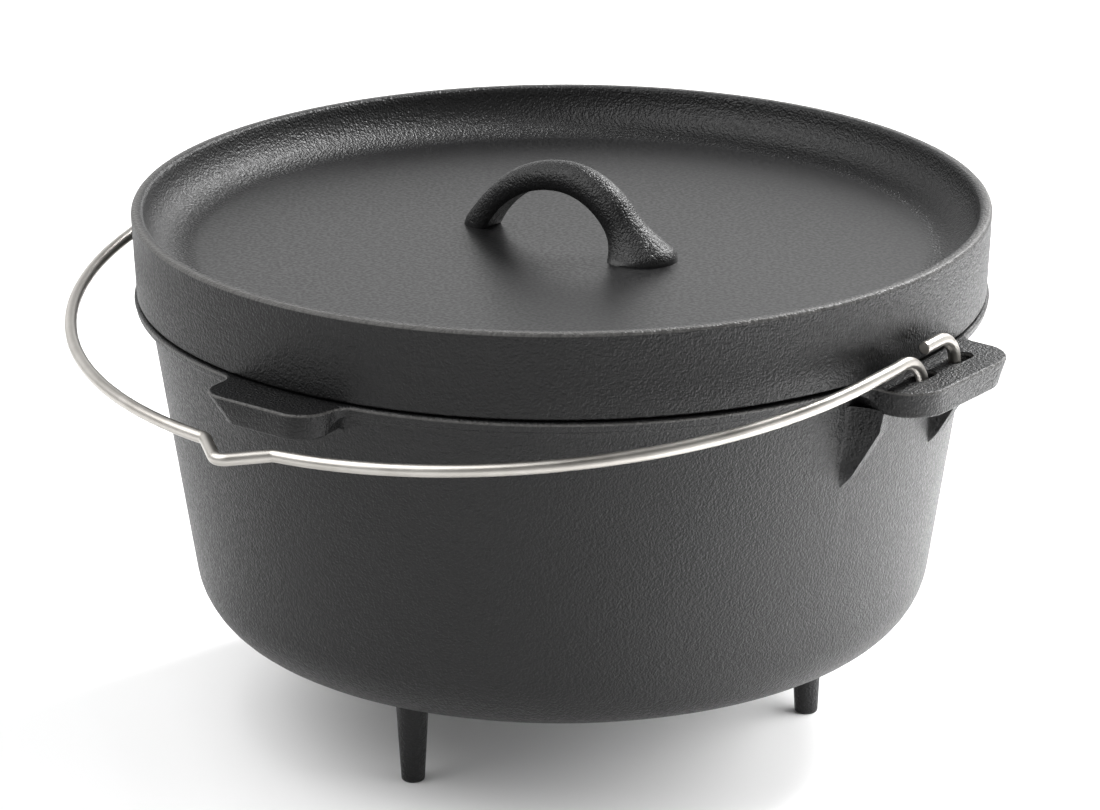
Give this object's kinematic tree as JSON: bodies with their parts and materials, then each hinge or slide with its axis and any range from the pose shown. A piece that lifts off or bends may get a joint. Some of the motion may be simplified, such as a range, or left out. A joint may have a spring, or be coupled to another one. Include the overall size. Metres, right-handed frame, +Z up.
{
  "type": "camp dutch oven",
  "caption": "Cast-iron camp cooking pot on short legs, with a flat-topped dished lid that holds coals, an arched lid handle and a wire carrying bail.",
  "frame": {"origin": "on the pot's axis at the level of the ground that the feet stand on", "axes": "+Z up along the pot's axis, X along the line of the two bail ears, -Y towards the lifting tab and the resting bail"},
  "size_m": [0.377, 0.381, 0.2255],
  "materials": {
    "pot_iron": "seasoned sand-cast black",
    "lid_iron": "seasoned sand-cast black",
    "bail_wire": "satin stainless wire"
  },
  "bodies": {
    "pot": {"pot": "pot_iron"},
    "lid": {"lid": "lid_iron"},
    "bail": {"bail": "bail_wire"}
  },
  "joints": [
    {"name": "lid_lift_off", "type": "slide", "parent": "pot", "child": "lid", "axis": [0, 0, 1], "range_m": [0, 0.025]},
    {"name": "bail_swing", "type": "hinge", "parent": "pot", "child": "bail", "pos_m": [0, 0, 0.1706], "axis": [-1, 0, 0], "range_deg": [0, 95]}
  ]
}
